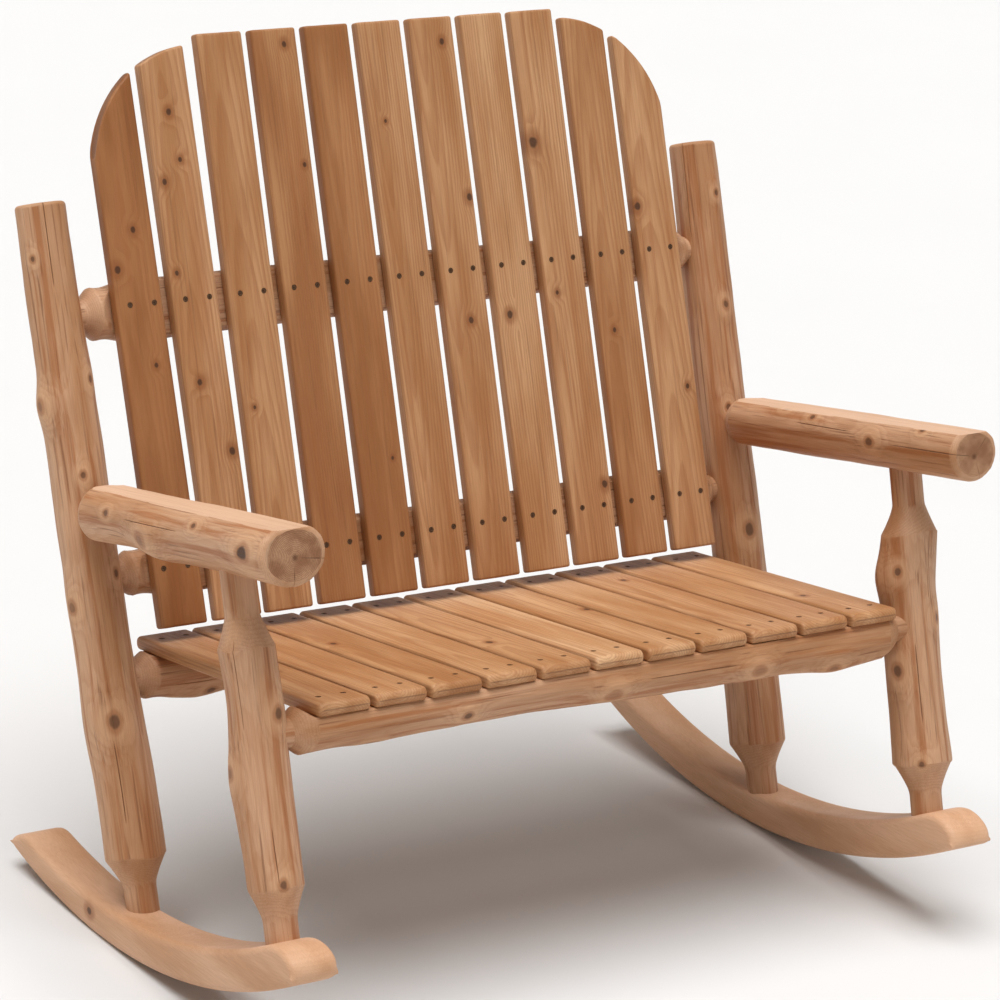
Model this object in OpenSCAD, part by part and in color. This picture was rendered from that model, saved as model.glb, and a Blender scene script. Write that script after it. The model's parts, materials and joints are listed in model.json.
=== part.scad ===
// Log double rocking chair.
// Round peeled logs make the posts, arms and cross rails. Turned tenons on the logs enter
// blind mortises. Sawn boards make the back, the seat and the two curved rockers.
// The chair faces -Y and +Z is up. The origin is on the floor, under the middle of the chair.
// The parts are laid out upright, over the middle of the rockers. The whole chair then leans
// back to where it stands when it is empty, with its weight over the point that it rocks on.

/* [Frame] */

// Distance between the left and right posts, centre to centre, at their feet
post_span = 1122; // [1112:2:1180]
// Outward lean of the posts
post_splay = 0.8; // [0.5:0.1:1]
// Backward lean of the rear posts and of the back
back_lean = 12.6; // [12:0.1:14]
// Backward lean of the front posts
front_lean = 10.4; // [9.5:0.1:11]
// Height of the top of the rear posts
rear_post_top = 1054; // [1000:1:1080]

// How far the empty chair leans back from upright
rest_tilt = 8.4; // [7.9:0.1:8.9]
// Distance behind the origin where the empty chair touches the floor
rest_y = 88.4; // [80:0.1:95]

/* [Logs] */

// Diameter of a rear post at its foot
rear_post_foot_d = 88; // [84:1:90]
// Diameter of a rear post at its top
rear_post_top_d = 73; // [72:1:80]
// Diameter of the left front post
front_post_left_d = 78; // [76:1:84]
// Diameter of the right front post
front_post_right_d = 84; // [76:1:84]
// Diameter of the left arm
arm_left_d = 88; // [80:1:88]
// Diameter of the right arm
arm_right_d = 78; // [76:1:88]
// Diameter of the upper back rail at its left end
upper_rail_left_d = 92; // [80:1:92]
// Diameter of the upper back rail at its right end
upper_rail_right_d = 80; // [78:1:92]
// Diameter of the lower back rail
lower_rail_d = 79; // [76:1:84]
// Diameter of the two seat rails
seat_rail_d = 80; // [76:1:84]

/* [Slats] */

// Distance from one slat to the next, centre to centre
slat_pitch = 91.4; // [90:0.2:92]
// Width of a back slat
back_slat_w = 75.6; // [74:0.2:82]
// Width of a seat slat
seat_slat_w = 83; // [78:0.5:85]
// Thickness of a back slat
back_slat_t = 22; // [19:1:24]
// Length of the back slats
back_slat_l = 850; // [800:5:870]
// Radius of the round corners of the back
back_corner_r = 186; // [180:1:190]
// Thickness of a seat slat
seat_slat_t = 20; // [18:1:22]
// Length of the seat slats
seat_slat_l = 518; // [510:1:530]
// Height of the top of the seat at its front edge
seat_front_h = 436; // [432:1:440]

/* [Rockers] */

// Distance between the two rockers, middle to middle
rocker_span = 1136; // [1130:2:1190]
// Width of a rocker
rocker_w = 74; // [72:1:80]
// Thickness of a rocker at its lowest point
rocker_t = 54; // [52:1:58]
// Radius of the rolling edge
rocker_r = 1045; // [1030:5:1080]
// How far the nose of a rocker reaches ahead of the middle
nose_reach = 430; // [420:1:436]
// How far the top edge of the left rocker reaches behind the middle
tail_reach_left = 353; // [345:1:440]
// How far the top edge of the right rocker reaches behind the middle
tail_reach_right = 440; // [345:1:440]

/* [Arms] */

// Height of the left arm's centre line above the floor, midway along the chair
arm_left_h = 637; // [630:1:650]
// Height of the right arm's centre line above the floor, midway along the chair
arm_right_h = 645; // [630:1:650]
// Slope of the arms, front end up
arm_slope = 3.7; // [3:0.1:4.5]
// Distance of the front end of the left arm ahead of the middle
arm_reach_left = 390; // [385:1:420]
// Distance of the front end of the right arm ahead of the middle
arm_reach_right = 416; // [385:1:420]

/* [Joints] */

// Diameter of the tenons at both ends of a rail
rail_tenon_d = 44; // [38:1:46]
// Diameter of the posts' turned feet and of the front posts' top tenons
foot_d = 48; // [44:1:50]
// Diameter of the tenon at the rear end of an arm
arm_tenon_d = 40; // [36:1:42]
// Gap around a tenon in its mortise
joint_gap = 0.3; // [0.2:0.1:0.5]

/* [Hidden] */

$fn = 72;

slat_count = 11;
slat_row_w = slat_count * slat_pitch;
// Both rows of slats sit a little to the right of the middle
slat_shift = 5;
slat_edge_r = 5;

// Rockers: the rolling edge touches the floor at rocker_low_y
rocker_low_y = -14;
rocker_top_y = rocker_low_y + 28;
rocker_top_r = rocker_r - 20;
nose_r = 80;
nose_step = 3;
nose_start_y = 74 - nose_reach;
tail_r = 8;
// Thickness of the tail, and how much further its lower edge reaches than its upper one
tail_t = 42;
tail_slant = 42;

// Posts: their centre lines pass through the rocker tops at these places
rear_foot_y = 77;
rear_foot_z = 56;
front_foot_y = -327;
front_foot_z = 112;
foot_depth = 36;
foot_neck_l = 30;
foot_cone_l = 45;
top_edge_r = 6;

// Arms
arm_flat_cut = 5;
arm_runout_l = 26;
arm_runout_gap = 4;
arm_dome_l = 34;
arm_tenon_depth = 36;
arm_top_tenon_depth = 42;
arm_neck_l = 52;
arm_cone_l = 44;

// Back: front face of the slats at their lower ends
back_y = 124;
back_z = 450;
rail_setback = 44;
upper_rail_s = 462;
upper_screw_s = 468;
lower_rail_s = 86;
back_corner_x = slat_row_w / 2 - 191;
back_corner_s = 650;

// Seat
seat_slope = 0.95;
seat_front_y = -324;
seat_nose_r = 9;
front_rail_y = -284;
front_rail_z = 393;
rear_rail_y = 153;
rear_rail_z = 377;

// Rails
rail_tenon_depth = 42;
rail_neck_l = 4;
rail_dome_l = 36;

// Screws
screw_d = 4;
screw_head_d = 8;
screw_head_t = 3;
screw_gap = 0.15;
back_screw_l = 45;
seat_screw_l = 40;
screw_half_pitch = 20;
lock_screw_d = 5;
lock_screw_head_d = 10;
lock_screw_l = 58;
lock_offset = 12;
arm_screw_l = 70;
lag_d = 8;
lag_head_d = 16;
lag_head_t = 5;
lag_wall = 6;
lag_l = 36;

wood = [0.80, 0.60, 0.43];
board = [0.72, 0.49, 0.31];
steel = [0.35, 0.33, 0.31];

// ---- places that several parts share ----

// Rolls the upright chair back on its rockers to where it stands empty
module at_rest() translate([0, rest_y, rocker_r]) rotate([-rest_tilt, 0, 0])
    translate([0, -rocker_low_y, -rocker_r]) children();

function slat_x(i) = slat_shift + (i - (slat_count + 1) / 2) * slat_pitch;

// A point of the back: s up the slats, d behind their front faces
function back_point_y(s, d) = back_y + s * sin(back_lean) + d * cos(back_lean);
function back_point_z(s, d) = back_z + s * cos(back_lean) - d * sin(back_lean);

// Distance of a post's centre line from the middle, at the height z
function post_x(foot_z, z) = post_span / 2 + (z - foot_z) * tan(post_splay);
function rear_post_y(z) = rear_foot_y + (z - rear_foot_z) * tan(back_lean);
function front_post_y(z) = front_foot_y + (z - front_foot_z) * tan(front_lean);
function rear_post_r(z) = let (t = (z - rear_foot_z) / (rear_post_top - rear_foot_z))
    (rear_post_foot_d * (1 - t) + rear_post_top_d * t) / 2;
upper_rail_y = back_point_y(upper_rail_s, rail_setback);
upper_rail_z = back_point_z(upper_rail_s, rail_setback);
lower_rail_y = back_point_y(lower_rail_s, rail_setback);
lower_rail_z = back_point_z(lower_rail_s, rail_setback);

function arm_h(side) = side < 0 ? arm_left_h : arm_right_h;

// Height where a post's centre line crosses the arm's, for a post that leans from its foot
function crossing_z(side, foot_y, foot_z, lean) =
    (arm_h(side) - foot_y * tan(arm_slope) + foot_z * tan(lean) * tan(arm_slope))
    / (1 + tan(lean) * tan(arm_slope));
function arm_post_z(side) = crossing_z(side, front_foot_y, front_foot_z, front_lean);
function arm_rear_z(side) = crossing_z(side, rear_foot_y, rear_foot_z, back_lean);

module at_rear_post(side) translate([side * post_span / 2, rear_foot_y, rear_foot_z])
    rotate([-back_lean, side * post_splay, 0]) children();
module at_front_post(side) translate([side * post_span / 2, front_foot_y, front_foot_z])
    rotate([-front_lean, side * post_splay, 0]) children();
// Children are drawn along +Z, which becomes the way up the back, with +Y behind the slats
module at_back() translate([0, back_y, back_z]) rotate([-back_lean, 0, 0]) children();
// Children are drawn from the top front edge of the seat, with +Y towards the back
module at_seat() translate([0, seat_front_y, seat_front_h]) rotate([-seat_slope, 0, 0]) children();

// ---- shapes ----

// Points of a dome between a neck and the full log, for a turned outline
function dome(neck_r, full_r, start, length, steps = 6) =
    [for (i = [0:steps]) let (a = i * 90 / steps)
        [neck_r + (full_r - neck_r) * sin(a), start + length * (1 - cos(a))]];

// A point list turned end for end about z = 0
function flipped(points) = [for (i = [len(points) - 1:-1:0]) [points[i][0], -points[i][1]]];

module turned(points) rotate_extrude() polygon(points);

// A rail log along X: tenons enter the posts, domes swell to the full log
module rail(y, z, left_d, right_d, left_x, right_x) {
    r = rail_tenon_d / 2;
    translate([0, y, z]) rotate([0, 90, 0]) turned(concat(
        [[0, -left_x - rail_tenon_depth], [r, -left_x - rail_tenon_depth]],
        dome(r, left_d / 2, rail_neck_l - left_x, rail_dome_l),
        flipped(dome(r, right_d / 2, rail_neck_l - right_x, rail_dome_l)),
        [[r, right_x + rail_tenon_depth], [0, right_x + rail_tenon_depth]]
    ));
}

// The hole for a rail's tenon, in the post on the given side
module rail_mortise(side, y, z, inner_x)
    translate([side * (inner_x - rail_neck_l), y, z]) rotate([0, side * 90, 0])
        cylinder(h = rail_neck_l + rail_tenon_depth + joint_gap, d = rail_tenon_d + 2 * joint_gap);

// A countersunk screw: its head is flush with z = 0 and it points to -Z
module screw(length, d = screw_d, head_d = screw_head_d, gap = 0) {
    turned([
        [0, gap > 0 ? 1 : 0], [head_d / 2 + gap, gap > 0 ? 1 : 0], [head_d / 2 + gap, -0.5],
        [d / 2 + gap, -screw_head_t], [d / 2 + gap, -length + d], [0, -length - gap]
    ]);
}

// A board with eased edges, upright: x across, y through its thickness, z along it
module board(w, t, l) {
    r = slat_edge_r;
    corners = [[w / 2 - r, t - r, 0], [-w / 2 + r, t - r, 90], [-w / 2 + r, r, 180], [w / 2 - r, r, 270]];
    linear_extrude(l) polygon([for (c = corners) for (a = [0:22.5:90])
        [c[0] + r * cos(c[2] + a), c[1] + r * sin(c[2] + a)]]);
}

// ---- rockers ----

// A disc across the rocker's width, for its side view drawn in the Y and Z of the chair
module rocker_disc(y, z, r, extra = 0)
    translate([-rocker_w / 2 - extra, y, z]) rotate([0, 90, 0])
        cylinder(h = rocker_w + 2 * extra, r = r, $fn = 360);

// A side view in the Y and Z of the chair, given the rocker's width
module rocker_side_view(points, extra = 0)
    translate([-rocker_w / 2 - extra, 0, 0]) rotate([90, 0, 90]) linear_extrude(rocker_w + 2 * extra)
        polygon(points);

// A curved plank between the rolling edge and the top edge, with a rounded nose and a slanted tail
module rocker_blank(tail_reach) difference() {
    intersection() {
        rocker_disc(rocker_low_y, rocker_r, rocker_r);
        rocker_side_view(concat(
            [[-nose_reach, 4 * rocker_t], [-nose_reach, -rocker_t]],
            tail_outline(tail_reach)
        ));
    }
    rocker_disc(rocker_top_y, rocker_t + rocker_top_r, rocker_top_r, 1);
    nose_cut();
}

// Takes the top off the nose, down to an arc that carries on smoothly from the top edge
module nose_cut() {
    lean = asin((rocker_top_y - nose_start_y) / rocker_top_r);
    y = rocker_top_y - (rocker_top_r + nose_r) * sin(lean);
    z = rocker_t + rocker_top_r - (rocker_top_r + nose_r) * cos(lean);
    arc = [for (a = [0:nose_step:90]) [y + nose_r * sin(lean - a), z + nose_r * cos(lean - a)]];
    rocker_side_view(concat(arc, [[y - nose_r, z + 2 * nose_r], [nose_start_y, z + 2 * nose_r]]), 1);
}

// The tail is cut on a slant, with both corners rounded. Its outline from below to above, in
// steps along and across the top edge from where that edge ends
function tail_outline(tail_reach) = let (
    slope = asin((tail_reach - rocker_top_y) / rocker_top_r),
    end_z = rocker_t + rocker_top_r * (1 - cos(slope)),
    points = concat(
        [[-5 * tail_t, -2 * tail_t]],
        [for (a = [-90:15:45]) [tail_slant + tail_r * (cos(a) - 2), tail_r * (sin(a) + 1) - tail_t]],
        [for (a = [45:15:90]) [tail_r * (cos(a) - 1), tail_r * (sin(a) - 1)]],
        [[-2 * tail_t, 2 * tail_t]]
    ))
    [for (p = points) [
        tail_reach + p[0] * cos(slope) - p[1] * sin(slope),
        end_z + p[0] * sin(slope) + p[1] * cos(slope)
    ]];

// The room that a post's foot and its lag screw take in a rocker
module foot_mortise() {
    translate([0, 0, -foot_depth - joint_gap])
        cylinder(h = 2 * foot_depth, d = foot_d + 2 * joint_gap);
    translate([0, 0, -foot_depth - lag_wall]) rotate([180, 0, 0])
        cylinder(h = foot_depth, d = lag_head_d + 1);
    lag_screw(gap = screw_gap);
}

module rocker(side, tail_reach) color(wood) difference() {
    translate([side * rocker_span / 2, 0, 0]) rocker_blank(tail_reach);
    at_rear_post(side) foot_mortise();
    at_front_post(side) foot_mortise();
}

// ---- posts ----

// A turned foot, then the log: points of its outline from the tip of the foot up
function foot_outline(body_r) = [
    [0, -foot_depth], [foot_d / 2, -foot_depth], [foot_d / 2, foot_neck_l],
    [foot_d / 2 + 2, foot_neck_l + 8], [body_r, foot_neck_l + foot_cone_l]
];

module rear_post(side) {
    top = (rear_post_top - rear_foot_z) / cos(back_lean);
    r = rear_post_top_d / 2;
    color(wood) difference() {
        at_rear_post(side) turned(concat(
            foot_outline(rear_post_foot_d / 2),
            [for (a = [0:30:90]) [r - top_edge_r * (1 - cos(a)), top - top_edge_r * (1 - sin(a))]],
            [[0, top]]
        ));
        rail_mortise(side, upper_rail_y, upper_rail_z, upper_rail_x);
        rail_mortise(side, lower_rail_y, lower_rail_z, lower_rail_x);
        rail_mortise(side, rear_rail_y, rear_rail_z, rear_rail_x);
        at_arm(side) translate([0, arm_rear_l(side) - rail_neck_l, 0]) rotate([-90, 0, 0])
            cylinder(h = rail_neck_l + arm_tenon_depth + joint_gap, d = arm_tenon_d + 2 * joint_gap);
        rear_lock_screws(side, gap = screw_gap);
        arm_lock_screw(side, gap = screw_gap);
        at_rear_post(side) lag_screw(gap = screw_gap);
    }
}

module front_post(side, d, arm_d) {
    body_r = d / 2;
    top = front_post_length(side, arm_d);
    color(wood) difference() {
        at_front_post(side) turned(concat(
            foot_outline(body_r),
            [
                [body_r, top - arm_neck_l - arm_cone_l], [foot_d / 2, top - arm_neck_l],
                [foot_d / 2, top + arm_top_tenon_depth], [0, top + arm_top_tenon_depth]
            ]
        ));
        rail_mortise(side, front_rail_y, front_rail_z, front_rail_x(d));
        front_lock_screw(side, d, gap = screw_gap);
        at_front_post(side) lag_screw(gap = screw_gap);
    }
}

// Distance up a front post from the rocker to the underside of the arm
function front_post_length(side, arm_d) = (arm_post_z(side) - front_foot_z) / cos(front_lean)
    - arm_d / 2 / cos(front_lean - arm_slope);

// ---- arms ----

// Along an arm, from its midpoint to the front face of the rear post
function arm_rear_l(side) = rear_post_y(arm_rear_z(side)) / cos(arm_slope) - post_depth(side) / 2;
// Thickness of the rear post along the arm
function post_depth(side) = 2 * rear_post_r(arm_rear_z(side)) / cos(back_lean - arm_slope);

module at_arm(side) translate([side * post_x(front_foot_z, arm_post_z(side)), 0, arm_h(side)])
    rotate([-arm_slope, 0, 0]) children();

// What is planed off the top of an arm, which runs out ahead of the dome at the rear
module arm_flat(r, start_l, end_l) {
    above = r + 1;
    depth = r - arm_flat_cut;
    runout_l = arm_runout_l * (above - depth) / arm_flat_cut;
    translate([-r, 0, 0]) rotate([90, 0, 90]) linear_extrude(2 * r) polygon([
        [start_l - 1, depth], [end_l - arm_runout_l, depth],
        [end_l - arm_runout_l + runout_l, above], [start_l - 1, above]
    ]);
}

module arm(side, d, reach) {
    r = d / 2;
    front_l = -reach / cos(arm_slope);
    rear_l = arm_rear_l(side);
    dome_l = rear_l - rail_neck_l;
    color(wood) difference() {
        at_arm(side) rotate([-90, 0, 0]) turned(concat(
            [[0, front_l], [r, front_l]],
            flipped(dome(arm_tenon_d / 2, r, -dome_l, arm_dome_l, 8)),
            [[arm_tenon_d / 2, rear_l + arm_tenon_depth], [0, rear_l + arm_tenon_depth]]
        ));
        at_arm(side) arm_flat(r, front_l, dome_l - arm_dome_l - arm_runout_gap);
        at_front_post(side) translate([0, 0, front_post_length(side, d) - arm_neck_l])
            cylinder(h = arm_neck_l + arm_top_tenon_depth + joint_gap, d = foot_d + 2 * joint_gap);
        arm_lock_screw(side, gap = screw_gap);
    }
}

// ---- rails ----

// Distances of the posts' inner faces from the middle, where each rail enters them
upper_rail_x = post_x(rear_foot_z, upper_rail_z) - rear_post_r(upper_rail_z);
lower_rail_x = post_x(rear_foot_z, lower_rail_z) - rear_post_r(lower_rail_z);
rear_rail_x = post_x(rear_foot_z, rear_rail_z) - rear_post_r(rear_rail_z);
function front_rail_x(post_d) = post_x(front_foot_z, front_rail_z) - post_d / 2;

// Everything in front of the back of the slats, which a back rail is planed away from
module back_flat() at_back()
    translate([slat_shift - slat_row_w / 2, back_slat_t - 100, 0]) cube([slat_row_w, 100, back_slat_l]);

// Everything above the underside of the seat, which a seat rail is planed away from
module seat_flat() at_seat()
    translate([slat_shift - slat_row_w / 2, -50, -seat_slat_t]) cube([slat_row_w, seat_slat_l + 100, 100]);

module back_rail(y, z, left_d, right_d, inner_x, screw_s) color(wood) difference() {
    rail(y, z, left_d, right_d, inner_x, inner_x);
    back_flat();
    back_screws(screw_s, gap = screw_gap);
    for (side = [-1, 1]) rear_lock_screws(side, gap = screw_gap);
}

module rear_seat_rail() color(wood) difference() {
    rail(rear_rail_y, rear_rail_z, seat_rail_d, seat_rail_d, rear_rail_x, rear_rail_x);
    seat_flat();
    seat_screws(rear_rail_y, gap = screw_gap);
    for (side = [-1, 1]) rear_lock_screws(side, gap = screw_gap);
}

module front_seat_rail() color(wood) difference() {
    rail(front_rail_y, front_rail_z, seat_rail_d, seat_rail_d,
        front_rail_x(front_post_left_d), front_rail_x(front_post_right_d));
    seat_flat();
    seat_screws(front_rail_y, gap = screw_gap);
    front_lock_screw(-1, front_post_left_d, gap = screw_gap);
    front_lock_screw(1, front_post_right_d, gap = screw_gap);
}

// ---- slats ----

module back_slat(i) {
    x = slat_x(i);
    color(board) difference() {
        at_back() intersection() {
            translate([x, 0, 0]) board(back_slat_w, back_slat_t, back_slat_l);
            if (abs(x - slat_shift) > back_corner_x) round_corner(sign(x));
        }
        back_screws(upper_screw_s, gap = screw_gap, only = i);
        back_screws(lower_rail_s, gap = screw_gap, only = i);
    }
}

// The outline that the outer slats keep to: square below, an arc at the upper corner
module round_corner(side) translate([slat_shift, 0, 0]) {
    translate([side * back_corner_x, back_slat_t + 1, back_corner_s]) rotate([90, 0, 0])
        cylinder(h = back_slat_t + 2, r = back_corner_r, $fn = 180);
    translate([side > 0 ? 0 : -slat_row_w, -1, -1]) cube([slat_row_w, back_slat_t + 2, back_corner_s + 1]);
}

module seat_slat(i) color(board) difference() {
    at_seat() translate([slat_x(i), 0, 0]) intersection() {
        translate([0, 0, -seat_slat_t]) rotate([-90, 0, 0]) mirror([0, 1, 0])
            board(seat_slat_w, seat_slat_t, seat_slat_l);
        translate([-seat_slat_w / 2, 0, -seat_slat_t]) rotate([90, 0, 90]) linear_extrude(seat_slat_w)
            rounded_side(seat_slat_l, seat_slat_t, seat_nose_r);
    }
    seat_screws(front_rail_y, gap = screw_gap, only = i);
    seat_screws(rear_rail_y, gap = screw_gap, only = i);
}

// Side view of a seat slat, with both ends rounded over
module rounded_side(l, t, r) {
    corners = [[l - r, t - r, 0], [r, t - r, 90], [r, r, 180], [l - r, r, 270]];
    polygon([for (c = corners) for (a = [0:15:90]) [c[0] + r * cos(c[2] + a), c[1] + r * sin(c[2] + a)]]);
}

// ---- fasteners ----

// Two screws in each back slat, s up the back. With only set, just that slat's two
module back_screws(s, gap = 0, only = 0) at_back()
    for (i = [1:slat_count]) if (only == 0 || only == i) for (side = [-1, 1])
        translate([slat_x(i) + side * screw_half_pitch, 0, s]) rotate([90, 0, 0])
            screw(back_screw_l, gap = gap);

// Two screws in each seat slat, above the rail at y. With only set, just that slat's two
module seat_screws(y, gap = 0, only = 0) at_seat()
    for (i = [1:slat_count]) if (only == 0 || only == i) for (side = [-1, 1])
        translate([slat_x(i) + side * screw_half_pitch, (y - seat_front_y) / cos(seat_slope), 0])
            screw(seat_screw_l, gap = gap);

// A screw through a rail's tenon from behind the post, at a height z above the floor
module lock_screw(foot_y, foot_z, lean, y, z, r, side, gap) {
    up = (y - foot_y) * sin(lean) + (z - foot_z) * cos(lean);
    translate([-side * lock_offset, sqrt(r * r - lock_offset * lock_offset) - 1, up]) rotate([-90, 0, 0])
        screw(lock_screw_l, lock_screw_d, lock_screw_head_d, gap);
}

module rear_lock_screws(side, gap = 0) at_rear_post(side) {
    lock_screw(rear_foot_y, rear_foot_z, back_lean, upper_rail_y, upper_rail_z,
        rear_post_r(upper_rail_z), side, gap);
    lock_screw(rear_foot_y, rear_foot_z, back_lean, lower_rail_y, lower_rail_z,
        rear_post_r(lower_rail_z), side, gap);
    lock_screw(rear_foot_y, rear_foot_z, back_lean, rear_rail_y, rear_rail_z,
        rear_post_r(rear_rail_z), side, gap);
}

module front_lock_screw(side, d, gap = 0) at_front_post(side)
    lock_screw(front_foot_y, front_foot_z, front_lean, front_rail_y, front_rail_z, d / 2, side, gap);

// A long screw along the arm, from behind the rear post into the end of the arm's tenon
module arm_lock_screw(side, gap = 0) at_arm(side)
    translate([0, arm_rear_l(side) + post_depth(side) - 1, 0])
        rotate([-90, 0, 0]) screw(arm_screw_l, lock_screw_d, lock_screw_head_d, gap);

// A lag screw up through a rocker into a post's foot, drawn in the post's own frame
module lag_screw(gap = 0) translate([0, 0, -foot_depth - lag_wall]) turned([
    [0, -lag_head_t], [lag_head_d / 2 + gap, -lag_head_t], [lag_head_d / 2 + gap, 0],
    [lag_d / 2 + gap, 0], [lag_d / 2 + gap, lag_l - lag_d], [0, lag_l + gap]
]);

module rail_lock_screws() color(steel) {
    for (side = [-1, 1]) rear_lock_screws(side);
    front_lock_screw(-1, front_post_left_d);
    front_lock_screw(1, front_post_right_d);
}

module rocker_lag_screws() color(steel) for (side = [-1, 1]) {
    at_rear_post(side) lag_screw();
    at_front_post(side) lag_screw();
}

at_rest() rocker(-1, tail_reach_left);  // rocker_left
at_rest() rocker(1, tail_reach_right);  // rocker_right
at_rest() rear_post(-1);  // rear_post_left
at_rest() rear_post(1);  // rear_post_right
at_rest() front_post(-1, front_post_left_d, arm_left_d);  // front_post_left
at_rest()  // front_post_right
    front_post(1, front_post_right_d, arm_right_d);
at_rest() arm(-1, arm_left_d, arm_reach_left);  // arm_left
at_rest() arm(1, arm_right_d, arm_reach_right);  // arm_right
at_rest() back_rail(  // upper_back_rail
    upper_rail_y, upper_rail_z, upper_rail_left_d, upper_rail_right_d, upper_rail_x, upper_screw_s);
at_rest()  // lower_back_rail
    back_rail(lower_rail_y, lower_rail_z, lower_rail_d, lower_rail_d, lower_rail_x, lower_rail_s);
at_rest() rear_seat_rail();
at_rest() front_seat_rail();
for (i = [1:slat_count]) {
    at_rest() back_slat(i);
    at_rest() seat_slat(i);
}
at_rest() color(steel) back_screws(upper_screw_s);  // back_screws_upper
at_rest() color(steel) back_screws(lower_rail_s);  // back_screws_lower
at_rest() color(steel) seat_screws(front_rail_y);  // seat_screws_front
at_rest() color(steel) seat_screws(rear_rail_y);  // seat_screws_rear
at_rest() rail_lock_screws();
at_rest() color(steel)  // arm_lock_screws
    for (side = [-1, 1]) arm_lock_screw(side);
at_rest() rocker_lag_screws();
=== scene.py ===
"""A log double rocking chair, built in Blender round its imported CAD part.

Each log, board, rocker and set of screws is a piece of its own, shaped on the CAD node that it
stands for: the logs get their knots, dents, cracks and turned ends, the boards their worn edges.
"""

import json
import math
from dataclasses import dataclass

import bmesh
import bpy
import numpy as np
from mathutils import Matrix, Vector, noise
from mathutils.bvhtree import BVHTree


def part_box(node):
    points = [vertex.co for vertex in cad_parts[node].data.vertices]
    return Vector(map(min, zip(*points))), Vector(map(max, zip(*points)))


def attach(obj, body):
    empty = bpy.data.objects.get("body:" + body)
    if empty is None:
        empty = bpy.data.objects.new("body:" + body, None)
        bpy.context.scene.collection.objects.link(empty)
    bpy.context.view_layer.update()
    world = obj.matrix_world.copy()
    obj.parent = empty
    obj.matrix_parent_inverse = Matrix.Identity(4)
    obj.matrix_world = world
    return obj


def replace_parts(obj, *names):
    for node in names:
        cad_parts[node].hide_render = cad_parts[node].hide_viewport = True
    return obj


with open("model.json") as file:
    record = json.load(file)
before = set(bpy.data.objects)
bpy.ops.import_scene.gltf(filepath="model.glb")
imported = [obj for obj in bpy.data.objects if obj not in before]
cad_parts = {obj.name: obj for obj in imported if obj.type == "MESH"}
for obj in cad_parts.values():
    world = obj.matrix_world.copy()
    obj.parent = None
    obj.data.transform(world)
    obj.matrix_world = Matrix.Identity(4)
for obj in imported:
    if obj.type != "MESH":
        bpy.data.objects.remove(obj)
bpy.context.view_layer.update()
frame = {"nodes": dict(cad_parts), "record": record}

TURN = 2 * math.pi
LEFT = Vector((-1, 0, 0))
FRONT = Vector((0, -1, 0))
UP = Vector((0, 0, 1))
SLATS = 11


# ---- reading the frame ----


def cad_mesh(node):
    """The mesh of a CAD node, in the shared frame."""
    return frame["nodes"][node].data


def cad_surface(node):
    """The surface of a CAD node, for rays to hit."""
    mesh = cad_mesh(node)
    return BVHTree.FromPolygons([v.co for v in mesh.vertices], [p.vertices for p in mesh.polygons])


def axes_matrix(x, y, z, origin):
    """The matrix of a local frame from its three axes and its origin."""
    matrix = Matrix((x, y, z)).transposed().to_4x4()
    matrix.translation = origin
    return matrix


def local_box(node, place):
    """Lowest and highest corner of a CAD node in a local frame."""
    points = [place.inverted() @ v.co for v in cad_mesh(node).vertices]
    low = Vector([min(p[i] for p in points) for i in range(3)])
    high = Vector([max(p[i] for p in points) for i in range(3)])
    return low, high


def flat_end(node, towards):
    """Centre and outward normal of the flat end of a CAD log that faces towards."""
    faces = [p for p in cad_mesh(node).polygons if p.normal.dot(towards) > 0.8]
    normal = max(faces, key=lambda p: p.center.dot(towards)).normal.copy()
    reach = max(p.center.dot(normal) for p in faces)
    end = [p for p in faces if p.normal.dot(normal) > 0.9999 and p.center.dot(normal) > reach - 0.0005]
    area = sum(p.area for p in end)
    return sum((p.center * p.area for p in end), Vector()) / area, normal


def log_place(node, towards, facing):
    """A log's local frame: its origin at the end that faces towards, Z along it, X to facing."""
    centre, normal = flat_end(node, towards)
    along = -normal
    side = (facing - along * facing.dot(along)).normalized()
    return axes_matrix(side, along.cross(side), along, centre)


def log_outline(node, place, step=0.003, rays=24):
    """The CAD log's radius at equal steps along it, wherever no mortise or flat is cut."""
    surface = cad_surface(node)
    length = local_box(node, place)[1].z
    count = round(length / step)
    radii = []
    for i in range(count + 1):
        z = min(max(length * i / count, 0.0004), length - 0.0004)
        widest = 0
        for k in range(rays):
            out = place.to_3x3() @ Vector((math.cos(TURN * k / rays), math.sin(TURN * k / rays), 0))
            hit = surface.ray_cast(place @ Vector((0, 0, z)) + out * 0.2, -out, 0.2)
            if hit[0] is not None:
                widest = max(widest, 0.2 - hit[3])
        radii.append(widest)
    return length, radii


def board_place(node, facing, along):
    """A board's local frame: Z along it, X across it, and -Y out of the face that faces facing."""
    faces = [p for p in cad_mesh(node).polygons if p.normal.dot(facing) > 0.8]
    out = max(faces, key=lambda p: p.area).normal.copy()
    length_way = (along - out * along.dot(out)).normalized()
    place = axes_matrix((-out).cross(length_way), -out, length_way, Vector())
    low, high = local_box(node, place)
    place.translation = place.to_3x3() @ Vector(((low.x + high.x) / 2, (low.y + high.y) / 2, low.z))
    return place


def looked_up(values, share):
    """A value from an evenly spaced list, share of the way along it."""
    at = min(max(share, 0), 1) * (len(values) - 1)
    low = min(int(at), len(values) - 2)
    return values[low] + (values[low + 1] - values[low]) * (at - low)


# ---- numbers that vary smoothly ----


def smooth(low, high, value):
    """0 below low, 1 above high, and an even curve between."""
    t = min(max((value - low) / (high - low), 0), 1)
    return t * t * (3 - 2 * t)


def wander(seed, *at):
    """Smooth noise from -1 to 1 at one, two or three numbers."""
    padded = list(at) + [0.37] * (3 - len(at))
    return noise.noise(Vector(padded) + Vector((seed * 7.31, seed * 3.17, seed * 5.73)))


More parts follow.
